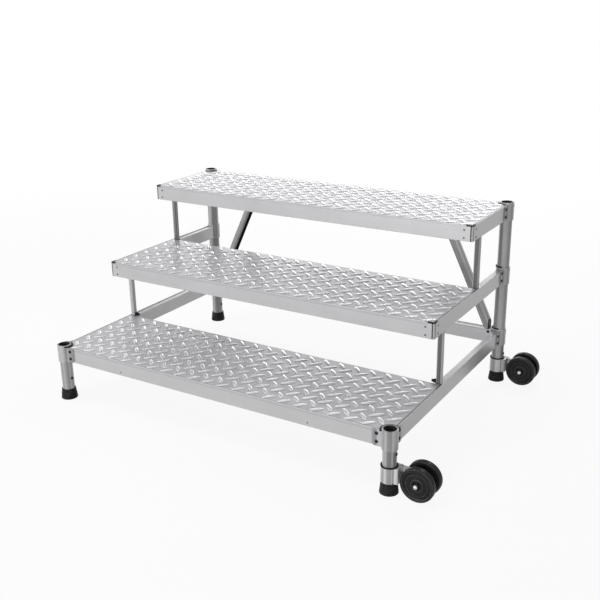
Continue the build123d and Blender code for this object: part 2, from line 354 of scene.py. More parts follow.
@dataclass(frozen=True)
class SatinAluminium(Finish):
    """Aluminium with fine lines along one axis, faint clouds and a few handling marks.

    Fields: the lines' direction, the metal's colour, its roughness, how metallic it is, how
    strong the lines, the clouds, the marks and the drawing die's broad banding are, the scale
    of each, how long the lines and the banding are, and the painted shade lines in the grooves
    below a bead. The banding is made strong enough to stand as painted reflections.
    """

    grain: Vec = Axis.X.value
    colour: Colour = (0.60, 0.60, 0.61)
    roughness: float = 0.34
    metallic: float = 0.3
    lines: float = 0.10
    clouds: float = 0.08
    marks: float = 0.04
    bands: float = 0.0
    line_scale: float = 900.0
    cloud_scale: float = 7.0
    mark_scale: float = 60.0
    band_scale: float = 75.0
    line_length: float = 0.012
    band_length: float = 0.004
    grooves: tuple[float, ...] = ()
    groove_half: float = 0.7 * MM
    groove_shade_tone: Colour = (0.42, 0.42, 0.43)

    def shader(self, graph: Graph) -> Value:
        """Lines are noise squeezed along the grain; clouds and marks are plain noise.

        Args:
            graph: the material's graph.

        Returns:
            The shader.
        """
        lines = graph.noise(self.line_scale, detail=3.0,
                            vector=graph.squeezed(self.grain, self.line_length))
        clouds = graph.noise(self.cloud_scale, detail=4.0, roughness=0.55)
        marks = graph.noise(self.mark_scale, roughness=0.7,
                            vector=graph.place((1.0, 1.0, 2.0))).between(0.66, 0.74)
        shade = self.lines * (lines - 0.5) + self.clouds * (clouds - 0.5) - self.marks * marks
        # Broad banding from the drawing die, made strong enough to stand as painted reflections.
        if self.bands:
            bands = graph.noise(self.band_scale, detail=1.0, roughness=0.5,
                                vector=graph.squeezed(self.grain, self.band_length))
            shade = shade + self.bands * (bands.between(0.34, 0.66) - 0.62)
        colour = graph.mix(0.6 + shade * 2.0, shaded(self.colour, 0.40), shaded(self.colour, 1.40))
        # Painted shade: a dark line in each groove below a bead.
        if self.grooves:
            groove = graph.xyz()[2].near(self.grooves, self.groove_half, core=0.67)
            colour = graph.mix(groove, colour, self.groove_shade_tone)
        rough = self.roughness + 0.10 * (clouds - 0.5) + 0.14 * (lines - 0.5) + 0.08 * marks
        return graph.add("ShaderNodeBsdfPrincipled", {
            "Base Color": colour,
            "Metallic": self.metallic,
            "Roughness": rough,
            "Normal": graph.bump(lines, strength=0.12, distance=0.05 * MM),
        })


@dataclass(frozen=True)
class CheckerSheet(Finish):
    """Bright rolled sheet: a fine pebble from the rolls, cloudy sheen and tiny dark pits."""

    colour: Colour = (0.60, 0.60, 0.62)
    seam_colour: Colour = (0.10, 0.10, 0.105)
    roughness: float = 0.36
    metallic: float = 0.35
    shine: float = 0.3
    middle: Vec = (0.0, 0.0, 0.0)
    half: tuple[float, float] = (1.0, 1.0)
    seam: float = 2.6 * MM
    pebble_scale: float = 420.0
    sheen_scale: float = 16.0
    pit_scale: float = 150.0

    def shader(self, graph: Graph) -> Value:
        """Pebble is fine noise as bump; sheen is slow noise in the roughness.

        The seam beside the side rails has painted shade: it is where the distance to the
        sheet's end, half x - |x|, is less than its width. Painted shade also darkens the other
        edges.

        Args:
            graph: the material's graph.

        Returns:
            The shader.
        """
        pebble = graph.noise(self.pebble_scale, detail=3.0)
        sheen = graph.noise(self.sheen_scale, detail=3.0)
        pits = graph.noise(self.pit_scale, roughness=0.8).between(0.70, 0.78)
        shade = 0.5 + 0.8 * (sheen - 0.5) + 0.5 * (pebble - 0.5) - 0.5 * pits
        colour = graph.mix(shade, shaded(self.colour, 0.78), shaded(self.colour, 1.2))
        # Painted shade: dark at the seams beside the side rails, darker towards the front and back
        # edges.
        x, y, _ = graph.xyz(self.middle)
        to_side = (self.half[0] - abs(x)).between(self.seam * 0.6, self.seam)
        to_front = (self.half[1] - abs(y)).between(0.0, self.seam)
        colour = graph.mix(to_side, self.seam_colour, colour)
        return graph.add("ShaderNodeBsdfPrincipled", {
            "Base Color": graph.mix(0.35 + 0.65 * to_front, shaded(self.colour, 0.5), colour),
            "Metallic": self.metallic,
            "Roughness": self.roughness + 0.12 * (sheen - 0.5) + 0.10 * (pebble - 0.5),
            "Specular IOR Level": self.shine,
            "Normal": graph.bump(pebble, strength=0.25, distance=0.12 * MM),
        })


@dataclass(frozen=True)
class RaisedBar(Finish):
    """A pressed bar of the sheet: polished by feet along its top, dull round its foot, where
    painted shade darkens it.
    """

    plate_top: float = 0.0
    height: float = 2.4 * MM
    polished: Colour = (0.80, 0.80, 0.81)
    dull: Colour = (0.11, 0.11, 0.12)
    roughness: float = 0.22
    metallic: float = 0.5
    wear_scale: float = 190.0

    def shader(self, graph: Graph) -> Value:
        """The finish follows the height above the plate, broken by slow noise.

        Args:
            graph: the material's graph.

        Returns:
            The shader.
        """
        wear = graph.noise(self.wear_scale)
        rise = (graph.xyz()[2] - self.plate_top) / self.height + 0.12 * (wear - 0.5)
        # Painted shade: the dark colour covers the foot and the lower part of the flanks.
        top = rise.between(0.02, 0.45)
        return graph.add("ShaderNodeBsdfPrincipled", {
            "Base Color": graph.mix(top, self.dull, self.polished),
            "Metallic": self.metallic,
            "Roughness": self.roughness + 0.22 * (1.0 - top),
            "Normal": graph.bump(wear, strength=0.04, distance=0.1 * MM),
        })


@dataclass(frozen=True)
class InsideShadedTube(SatinAluminium):
    """Satin tube whose inner wall and mouth are darkened with painted shade, out to a radius from
    its axis.
    """

    centre: tuple[float, float] = (0.0, 0.0)
    inside_shade: float = 18.9 * MM
    inside_shade_tones: tuple[Colour, Colour] = ((0.03, 0.03, 0.032), (0.06, 0.06, 0.064))

    def shader(self, graph: Graph) -> Value:
        """The painted inside shade is where the distance from the axis is small.

        Args:
            graph: the material's graph.

        Returns:
            The shader.
        """
        metal = super().shader(graph)
        x, y, _ = graph.xyz((*self.centre, 0.0))
        inside = ((x * x + y * y) ** 0.5).math("LESS_THAN", self.inside_shade)
        shade_mottle = graph.noise(90.0, roughness=0.5)
        inside_shade = graph.add("ShaderNodeBsdfPrincipled", {
            "Base Color": graph.mix(shade_mottle, *self.inside_shade_tones),
            "Roughness": 0.45 + 0.2 * (shade_mottle - 0.5),
        })
        return graph.blend(inside, metal, inside_shade)


@dataclass(frozen=True)
class BraceTube(SatinAluminium):
    """Satin tube with a fine dark line of painted shadow along the middle of two of its sides."""

    middle_y: float = 0.0
    groove: float = 0.8 * MM
    shadow_tones: tuple[Colour, Colour] = ((0.16, 0.16, 0.165), (0.24, 0.24, 0.245))

    def shader(self, graph: Graph) -> Value:
        """The painted shadow line is where the distance from the tube's middle plane is small.

        Args:
            graph: the material's graph.

        Returns:
            The shader.
        """
        metal = super().shader(graph)
        line = graph.xyz()[1].near([self.middle_y], self.groove, core=0.6)
        shade_mottle = graph.noise(120.0, roughness=0.5)
        shadow = graph.add("ShaderNodeBsdfPrincipled", {
            "Base Color": graph.mix(shade_mottle, *self.shadow_tones),
            "Roughness": 0.5 + 0.1 * (shade_mottle - 0.5),
        })
        return graph.blend(line, metal, shadow)


@dataclass(frozen=True)
class Moulding(Finish):
    """Moulded black plastic or rubber: a fine grain, dust in the hollows, a soft gloss."""

    colour: Colour = (0.012, 0.012, 0.0125)
    dust: Colour = (0.028, 0.028, 0.028)
    roughness: float = 0.4
    shine: float = 0.1
    grain_scale: float = 1400.0
    grain_depth: float = 0.05 * MM
    dust_scale: float = 45.0
    crest_highlight: Colour = (0.08, 0.08, 0.08)

    def shader(self, graph: Graph) -> Value:
        """Grain is fine noise as bump; dust is slow noise in the colour.

        Args:
            graph: the material's graph.

        Returns:
            The shader.
        """
        grain = graph.noise(self.grain_scale)
        dust = graph.noise(self.dust_scale, detail=4.0, roughness=0.65)
        colour = graph.mix(dust.between(0.45, 0.85), self.colour, self.dust)
        # Painted highlights along raised edges, broken up by the dust noise.
        crest_highlights = self.crest_highlights(graph)
        if crest_highlights is not None:
            colour = graph.mix(crest_highlights * dust.between(0.2, 0.6), colour, self.crest_highlight)
        return graph.add("ShaderNodeBsdfPrincipled", {
            "Base Color": colour,
            "Roughness": self.roughness + 0.25 * (dust - 0.5) + 0.1 * (grain - 0.5),
            "Specular IOR Level": self.shine,
            "Normal": graph.bump(grain, strength=0.3, distance=self.grain_depth),
        })

    def crest_highlights(self, graph: Graph) -> Value | None:
        """Where raised edges get painted highlights; none on a plain moulding."""
        return None


@dataclass(frozen=True)
class RibbedRubber(Moulding):
    """Rubber with painted highlights on its ribs: one on a rib's top at each pitch above the first.
    """

    first: float = 4.0 * MM
    pitch: float = 4.8 * MM

    def crest_highlights(self, graph: Graph) -> Value:
        """The rib wave |cos(pi (z - first) / pitch)| to a high power."""
        wave = (graph.xyz()[2] - self.first) * (math.pi / self.pitch)
        return abs(wave.math("COSINE")) ** 5.0


@dataclass(frozen=True)
class RingedPlastic(Moulding):
    """Wheel plastic with painted highlights on its ring edges, round an axis along Y."""

    centre: Vec = (0.0, 0.0, 0.0)
    rings: tuple[float, ...] = ()
    half: float = 0.9 * MM
    shine: float = 0.16

    def crest_highlights(self, graph: Graph) -> Value:
        """A narrow line at each ring's distance from the axis."""
        x, _, z = graph.xyz(self.centre)
        return ((x * x + z * z) ** 0.5).near(self.rings, self.half, core=0.4)


@dataclass(frozen=True)
class TurnedSteel(Finish):
    """Steel with fine turning marks and a few darker specks."""

    colour: Colour = (0.62, 0.62, 0.61)
    roughness: float = 0.25
    metallic: float = 0.9
    mark_scale: float = 1600.0
    speck_scale: float = 500.0

    def shader(self, graph: Graph) -> Value:
        """Marks are fine noise in the colour and the roughness.

        Args:
            graph: the material's graph.

        Returns:
            The shader.
        """
        marks = graph.noise(self.mark_scale, detail=3.0, vector=graph.place((1.0, 1.0, 0.3)))
        specks = graph.noise(self.speck_scale).between(0.62, 0.7)
        shade = 0.6 * marks + 0.5 * specks
        return graph.add("ShaderNodeBsdfPrincipled", {
            "Base Color": graph.mix(shade, self.colour, shaded(self.colour, 0.7)),
            "Metallic": self.metallic,
            "Roughness": self.roughness + 0.15 * (marks - 0.5) + 0.1 * specks,
            "Normal": graph.bump(marks, strength=0.1, distance=0.03 * MM),
        })


# Meshes as arrays


@dataclass(frozen=True)
class Shell:
    """A mesh as arrays: points (n, 3), faces with four corners and faces with three."""

    points: np.ndarray
    quads: np.ndarray
    triangles: np.ndarray

    def moved(self, pose: np.ndarray) -> "Shell":
        """The shell under a 4 by 4 pose: each point times the pose's matrix."""
        return replace(self, points=self.points @ pose[:3, :3].T + pose[:3, 3])

    def repeated(self, poses: Sequence[np.ndarray]) -> "Shell":
        """One shell with a copy at each pose.

        Every pose multiplies every point in one product, and each copy's faces count on
        from the copies before it.

        Args:
            poses: the 4 by 4 poses.

        Returns:
            The joined copies.
        """
        stack = np.array(poses)
        turned = np.einsum("kij,nj->kni", stack[:, :3, :3], self.points)
        points = (turned + stack[:, None, :3, 3]).reshape(-1, 3)
        first = (np.arange(len(stack)) * len(self.points))[:, None, None]
        quads = (self.quads[None] + first).reshape(-1, 4)
        triangles = (self.triangles[None] + first).reshape(-1, 3)
        return Shell(points, quads, triangles)

    @staticmethod
    def joined(shells: Iterable["Shell"]) -> "Shell":
        """Several shells as one: each one's faces count on from the points before it.

        Args:
            shells: the shells to join.

        Returns:
            The joined shell.
        """
        points, quads, triangles, first = [], [], [], 0
        for shell in shells:
            points.append(shell.points)
            quads.append(shell.quads + first)
            triangles.append(shell.triangles + first)
            first += len(shell.points)
        return Shell(np.concatenate(points), np.concatenate(quads), np.concatenate(triangles))

    def build(self, name: str, finish: bpy.types.Material, sharp: float = 35.0) -> bpy.types.Object:
        """Make the Blender object.

        Args:
            name: the object's name.
            finish: its material.
            sharp: edges that turn more than this many degrees stay sharp.

        Returns:
            The object, linked to the scene, with its place in its mesh.
        """
        mesh = bpy.data.meshes.new(name)
        mesh.vertices.add(len(self.points))
        mesh.vertices.foreach_set("co", self.points.astype(np.float32).ravel())
        corners = np.concatenate([self.quads.ravel(), self.triangles.ravel()])
        starts = np.concatenate([np.arange(len(self.quads)) * 4,
                                 4 * len(self.quads) + np.arange(len(self.triangles)) * 3])
        mesh.loops.add(len(corners))
        mesh.loops.foreach_set("vertex_index", corners.astype(np.int32))
        mesh.polygons.add(len(starts))
        mesh.polygons.foreach_set("loop_start", starts.astype(np.int32))
        mesh.update(calc_edges=True)
        mesh.validate()
        mesh.polygons.foreach_set("use_smooth", np.ones(len(mesh.polygons), bool))
        mesh.set_sharp_from_angle(angle=math.radians(sharp))
        mesh.materials.append(finish)
        obj = bpy.data.objects.new(name, mesh)
        bpy.context.scene.collection.objects.link(obj)
        return obj


def pose_at(origin: Sequence[float], direction: Sequence[float] = Axis.Z.value,
            turn: float = 0.0) -> np.ndarray:
    """A pose that stands a shell on a point with its Z along a direction.

    Args:
        origin: where the shell's zero goes.
        direction: where its Z points.
        turn: degrees that it is turned about its own Z first.

    Returns:
        The 4 by 4 pose.
    """
    up = np.asarray(direction, float)
    up = up / np.linalg.norm(up)
    across = np.cross(Axis.Z.value if abs(up[2]) < 0.9 else Axis.X.value, up)
    across = across / np.linalg.norm(across)
    c, s = math.cos(math.radians(turn)), math.sin(math.radians(turn))
    pose = np.eye(4)
    pose[:3, :3] = np.stack([across, np.cross(up, across), up], axis=1) @ np.array(
        [[c, -s, 0.0], [s, c, 0.0], [0.0, 0.0, 1.0]])
    pose[:3, 3] = origin
    return pose


def grid_faces(rows: int, columns: int, wrap_rows: bool, wrap_columns: bool = True) -> np.ndarray:
    """Quads of a grid of points; each joins a point to the next in its row and next row.

    Args:
        rows: how many rows of points there are.
        columns: how many points a row has.
        wrap_rows: whether the last row joins the first.
        wrap_columns: whether the last column joins the first.

    Returns:
        The faces, (m, 4).
    """
    last = rows if wrap_rows else rows - 1
    wide = columns if wrap_columns else columns - 1
    row, column = np.meshgrid(np.arange(last), np.arange(wide), indexing="ij")
    row_next, column_next = (row + 1) % rows, (column + 1) % columns
    faces = np.stack([row * columns + column, row * columns + column_next,
                      row_next * columns + column_next, row_next * columns + column], axis=-1)
    return faces.reshape(-1, 4)


def pole_faces(pole: int, first: int, count: int) -> np.ndarray:
    """Triangles that join a pole to each side of a ring of points: pole, here, next.

    Args:
        pole: the pole's number.
        first: the number of the ring's first point.
        count: how many points the ring has.

    Returns:
        The faces, (count, 3).
    """
    here = np.arange(count)
    return np.stack([np.full(count, pole), first + here, first + (here + 1) % count], axis=-1)


def convex_faces(count: int) -> np.ndarray:
    """Triangles of a convex outline, all from its first point."""
    here = np.arange(1, count - 1)
    return np.stack([np.zeros(count - 2, int), here, here + 1], axis=-1)


def full_turn(segments: int) -> np.ndarray:
    """The angles of a circle's points in radians."""
    return np.arange(segments) * 2 * math.pi / segments


def swept(outline: np.ndarray, turn: np.ndarray) -> np.ndarray:
    """Rows of points round Z: point (r, z) at angle t goes to (r cos t, r sin t, z).

    Args:
        outline: the profile's points, (n, 2).
        turn: the angles in radians.

    Returns:
        The points, one row for each point of the profile, (n * angles, 3).
    """
    flat = outline[:, None, :1] * np.stack([np.cos(turn), np.sin(turn)], axis=-1)
    height = np.broadcast_to(outline[:, None, 1:], (len(outline), len(turn), 1))
    return np.concatenate([flat, height], axis=-1).reshape(-1, 3)


def lathe(profile: Sequence[tuple[float, float]], segments: int = 48) -> Shell:
    """A profile swept all the way round Z.

    A profile that starts and ends on the axis is closed by two poles, and any other one
    is a loop whose last point joins its first. It runs so that the solid is on its left.

    Args:
        profile: the outline's points, radius and height, bottom first on the outside.
        segments: how many steps the turn has.

    Returns:
        The closed shell, with its faces outward.
    """
    outline = np.asarray(profile, float)
    poles = outline[0, 0] == 0.0 and outline[-1, 0] == 0.0
    rings = outline[1:-1] if poles else outline
    points = swept(rings, full_turn(segments))
    quads = grid_faces(len(rings), segments, wrap_rows=not poles)
    if not poles:
        return Shell(points, quads, np.zeros((0, 3), int))
    count = len(points)
    under = pole_faces(count, 0, segments)[:, [0, 2, 1]]
    over = pole_faces(count + 1, count - segments, segments)
    points = np.vstack([points, [0.0, 0.0, outline[0, 1]], [0.0, 0.0, outline[-1, 1]]])
    return Shell(points, quads, np.concatenate([under, over]))


def arc(profile: Sequence[tuple[float, float]], start: float, stop: float,
        segments: int = 32) -> Shell:
    """A convex profile swept part of the way round Z, with flat ends.

    Args:
        profile: the loop's points, radius and height, bottom first on the outside.
        start: the first end's angle in degrees from +X towards +Y.
        stop: the last end's angle.
        segments: how many steps the turn has.

    Returns:
        The closed shell, with its faces outward.
    """
    outline = np.asarray(profile, float)
    points = swept(outline, np.radians(np.linspace(start, stop, segments + 1)))
    quads = grid_faces(len(outline), segments + 1, wrap_rows=True, wrap_columns=False)
    first = convex_faces(len(outline)) * (segments + 1)
    return Shell(points, quads, np.concatenate([first, (first + segments)[:, ::-1]]))


def prism(outline: np.ndarray, low: float, high: float) -> Shell:
    """A convex outline carried straight up: point (x, y) goes to (x, y, z) at both heights.

    Args:
        outline: the outline's points, (n, 2), anticlockwise from above.
        low: the lower end's height.
        high: the upper end's height.

    Returns:
        The closed shell.
    """
    count = len(outline)
    levels = [np.column_stack([outline, np.full(count, z)]) for z in (low, high)]
    cap = convex_faces(count)
    quads = grid_faces(2, count, wrap_rows=False)
    return Shell(np.concatenate(levels), quads, np.concatenate([cap[:, ::-1], cap + count]))


def rounded(corners: Sequence[Sequence[float]], steps: int = 4) -> list[tuple[float, float]]:
    """An outline with rounded corners.

    Each corner with a radius becomes a quadratic curve between the points that lie that
    far along its two sides: (1-t)^2 a + 2t(1-t) b + t^2 c.

    Args:
        corners: radius, height and rounding of each corner, open at both ends.
        steps: how many spans a rounded corner has.

    Returns:
        The outline's points.
    """
    points = []
    for number, (x, y, rounding) in enumerate(corners):
        here = np.array([x, y])
        if rounding == 0.0 or number in (0, len(corners) - 1):
            points.append((x, y))
            continue
        before = np.array(corners[number - 1][:2]) - here
        after = np.array(corners[number + 1][:2]) - here
        start = here + before * rounding / np.linalg.norm(before)
        end = here + after * rounding / np.linalg.norm(after)
        t = np.linspace(0.0, 1.0, steps + 1)[:, None]
        curve = (1 - t) ** 2 * start + 2 * t * (1 - t) * here + t**2 * end
        points.extend(map(tuple, curve))
    return points


# Places read from the frame


@dataclass(frozen=True)
class Leg:
    """A leg as the frame has it: its axis, and the height of its tube's lower end."""

    end: End
    side: Side
    x: float
    y: float
    low: float

    @classmethod
    def read(cls, end: End, side: Side) -> "Leg":
        """Read a leg's place from its node's box."""
        low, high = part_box(f"leg_{end.label}_{side.label}")
        return cls(end, side, (low.x + high.x) / 2, (low.y + high.y) / 2, low.z)

    @property
    def name(self) -> str:
        """The leg's end and side."""
        return f"{self.end.label}_{self.side.label}"


def box_arrays(node: str) -> tuple[np.ndarray, np.ndarray]:
    """A node's lowest and highest corner as arrays."""
    low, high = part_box(node)
    return np.array(low), np.array(high)


def brace_lean(side: Side) -> float:
    """How far a rear brace moves along X for each unit up."""
    low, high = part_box(f"brace_{side.label}")
    return -side.value * BRACE_RUN / (high.z - low.z)


@dataclass(frozen=True)
class Palette:
    """Every material of the object that more than one piece may share, made once."""

    rail_x: bpy.types.Material
    rail_y: bpy.types.Material
    upright: bpy.types.Material
    corner: bpy.types.Material
    socket: bpy.types.Material
    bracket: bpy.types.Material
    black: bpy.types.Material
    rubber: bpy.types.Material
    steel: bpy.types.Material
    dark_steel: bpy.types.Material
    dull_steel: bpy.types.Material
    corner_groove_shade: bpy.types.Material
    liner: bpy.types.Material

    @classmethod
    def make(cls, grooves: tuple[float, ...]) -> "Palette":
        """Mix every finish.

        Args:
            grooves: the heights of the grooves below the beads of the rails along X.

        Returns:
            The palette.
        """
        up = Axis.Z.value
        finishes = {
            "rail_x": SatinAluminium("rail along x", grooves=grooves),
            "rail_y": SatinAluminium("rail along y", grain=Axis.Y.value),
            "upright": SatinAluminium("post tube", grain=up, colour=TUBE_COLOUR,
                                      roughness=TUBE_ROUGHNESS, metallic=TUBE_METALLIC,
                                      bands=0.8, band_scale=120.0),
            "corner": SatinAluminium("corner profile", grain=up),
            "socket": SatinAluminium("extruded socket", grain=up, colour=(0.52, 0.52, 0.53),
                                     metallic=TUBE_METALLIC, bands=0.28),
            "bracket": SatinAluminium("wheel bracket", grain=up, colour=(0.68, 0.68, 0.69),
                                      metallic=TUBE_METALLIC, bands=0.3),
            "black": Moulding("black plastic"),
            "rubber": RibbedRubber("black rubber", roughness=0.5, shine=0.06, grain_scale=900.0),
            "steel": TurnedSteel("bright steel"),
            "dark_steel": TurnedSteel("dark bolt steel", colour=(0.03, 0.03, 0.032),
                                      roughness=0.35),
            "dull_steel": TurnedSteel("dull screw steel", colour=(0.14, 0.14, 0.145),
                                      roughness=0.4),
            "corner_groove_shade": Moulding("grey gasket", colour=(0.07, 0.07, 0.072), dust=(0.12, 0.12, 0.12)),
            "liner": Moulding("deep black liner", colour=(0.002, 0.002, 0.002),
                              dust=(0.006, 0.006, 0.006), roughness=0.8, shine=0.02),
        }
        return cls(**{name: finish.material() for name, finish in finishes.items()})


def dress(node: bpy.types.Object, finish: bpy.types.Material) -> None:
    """Give a CAD node its finish through its material slots.

    Args:
        node: the node's object.
        finish: the material.
    """
    if not node.material_slots:
        node.data.materials.append(finish)
    for slot in node.material_slots:
        slot.material = finish


def mount(shell: Shell, name: str, finish: bpy.types.Material, body: str, slot: str,
          *nodes: str, sharp: float = 35.0) -> None:
    """Build a piece that rides on a body, and hide and log the nodes that it stands for.

    Args:
        shell: the piece's shape, in its place.
        name: the piece's name.
        finish: its material.
        body: the body's name.
        slot: not used.
        nodes: the nodes that it replaces.
        sharp: edges that turn more than this many degrees stay sharp.
    """
    piece = shell.build(name, finish, sharp)
    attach(piece, body)
    if nodes:
        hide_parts(*nodes)
    LOG.info("%s: %d faces, rides on %s%s", name, len(piece.data.polygons), body,
             f", stands for {', '.join(nodes)}" if nodes else "")


# Sub-assemblies


@dataclass(frozen=True)
class CheckerPlate:
    """The raised bars of one tread.

    Bars lean one way at the points of a square grid and the other way half a pitch off.
    """

    step: Step
    pitch: float = 54 * MM
    first_x: float = 15 * MM
    first_row: float = 44 * MM
    face_to_plate: float = 3.5 * MM
    length: float = 47 * MM
    width: float = 12.5 * MM
    height: float = 2.4 * MM
    sunk: float = 0.3 * MM
    lean: float = 45.0
    margin: float = 4 * MM
    cutout: float = 29.5 * MM
    segments: int = 18
    profile: tuple[tuple[float, float], ...] = (
        (0.0, 0.0), (1.0, 0.0), (0.97, 0.34), (0.86, 0.62), (0.60, 0.80), (0.30, 0.92), (0.0, 1.0))

    def bar(self) -> Shell:
        """A lens: the profile turned round, then stretched to the bar's size.

        Returns:
            The bar along X, on the plane of the plate.
        """
        shell = lathe(self.profile, self.segments)
        size = (self.length / 2, self.width / 2, self.height + self.sunk)
        return replace(shell, points=shell.points * size)

    def centres(self, low: np.ndarray, high: np.ndarray, offset: float) -> np.ndarray:
        """Grid points of one family of bars on the plate.

        Args:
            low: the plate's low corner.
            high: the plate's high corner.
            offset: how far this family is moved along both axes.

        Returns:
            The centres, (k, 2).
        """
        middle = (low[0] + high[0]) / 2
        front = low[1] - self.face_to_plate
        reach = int((high[0] - low[0]) / self.pitch)
        x = middle + self.first_x + offset + self.pitch * np.arange(-reach, reach)
        y = front + self.first_row + offset + self.pitch * np.arange(-2, reach)
        grid = np.stack(np.meshgrid(x, y, indexing="ij"), axis=-1).reshape(-1, 2)
        inside = np.all((grid > low[:2] + self.margin) & (grid < high[:2] - self.margin), axis=1)
        return grid[inside]

    def build(self, legs: Sequence[Leg]) -> None:
        """Lay the bars and cut them off at the plate's edges and round its cut-outs.

        A point past an edge is moved onto it, and a point inside a cut-out is moved out
        along its radius.

        Args:
            legs: the legs that stand in cut-outs of this plate.
        """
        low, high = box_arrays(f"tread_{self.step.label}")
        poses = []
        for offset, lean in ((0.0, -self.lean), (self.pitch / 2, self.lean)):
            for x, y in self.centres(low, high, offset):
                near = [math.hypot(x - leg.x, y - leg.y) for leg in legs]
                if min(near, default=1.0) > self.cutout + self.margin:
                    poses.append(pose_at((x, y, high[2] - self.sunk), turn=lean - 90.0))
        shell = self.bar().repeated(poses)
        points = shell.points.copy()
        points[:, :2] = np.clip(points[:, :2], low[:2], high[:2])
        for leg in legs:
            away = points[:, :2] - (leg.x, leg.y)
            distance = np.linalg.norm(away, axis=1, keepdims=True)
            pushed = (leg.x, leg.y) + away * self.cutout / distance
            points[:, :2] = np.where(distance < self.cutout, pushed, points[:, :2])
        finish = RaisedBar(f"plate bars {self.step.label}", plate_top=high[2], height=self.height)
        mount(replace(shell, points=points), f"plate_bars_{self.step.label}", finish.material(),
              "frame", "tread_plate")


@dataclass(frozen=True)
class Fasteners:
    """Bolts, screws and nuts, as lathe shells that stand on their seat."""

    head_radius: float = 5.2 * MM
    head_height: float = 3.0 * MM
    key_radius: float = 2.0 * MM
    key_depth: float = 1.6 * MM
    screw_radius: float = 3.2 * MM
    screw_height: float = 0.7 * MM
    nut_radius: float = 7.0 * MM
    nut_height: float = 7.0 * MM
    stud_radius: float = 4.0 * MM
    stud_length: float = 4.0 * MM
    stud_bevel: float = 0.8 * MM

    def button(self) -> Shell:
        """A button head with a key hole: flat seat, round shoulder, sunk middle.

        Returns:
            The head's shell.
        """
        r, h, key = self.head_radius, self.head_height, self.key_radius
        floor = h - self.key_depth
        return lathe([
            (0.0, 0.0), (r, 0.0), (r, 0.22 * h), (0.94 * r, 0.52 * h), (0.78 * r, 0.80 * h),
            (0.56 * r, 0.96 * h), (key, h), (0.9 * key, 0.9 * h), (0.85 * key, floor), (0.0, floor),
        ], segments=20)

    def screw(self) -> Shell:
        """A low screw head with a key hole.

        Returns:
            The head's shell.
        """
        r, h = self.screw_radius, self.screw_height
        return lathe([
            (0.0, 0.0), (r, 0.0), (r, 0.6 * h), (0.85 * r, h), (0.5 * r, h),
            (0.45 * r, 0.1 * h), (0.0, 0.1 * h),
        ], segments=16)

    def nut(self) -> Shell:
        """A nut with six sides, a washer behind it and the stud's end through it.

        Returns:
            The joined shell.
        """
        r, h, s = self.nut_radius, self.nut_height, self.stud_radius
        tip, rim = h + self.stud_length, 1.15 * r
        washer = lathe([(0.0, 0.0), (rim, 0.0), (rim, 0.2 * h), (0.0, 0.2 * h)], segments=24)
        body = lathe([(0.0, 0.15 * h), (r, 0.15 * h), (r, 0.9 * h), (0.88 * r, h), (0.0, h)],
                     segments=6)
        stud = lathe([(0.0, 0.9 * h), (s, 0.9 * h), (s, tip - self.stud_bevel), (0.8 * s, tip),
                      (0.0, tip)], segments=16)
        return Shell.joined([washer, body, stud])


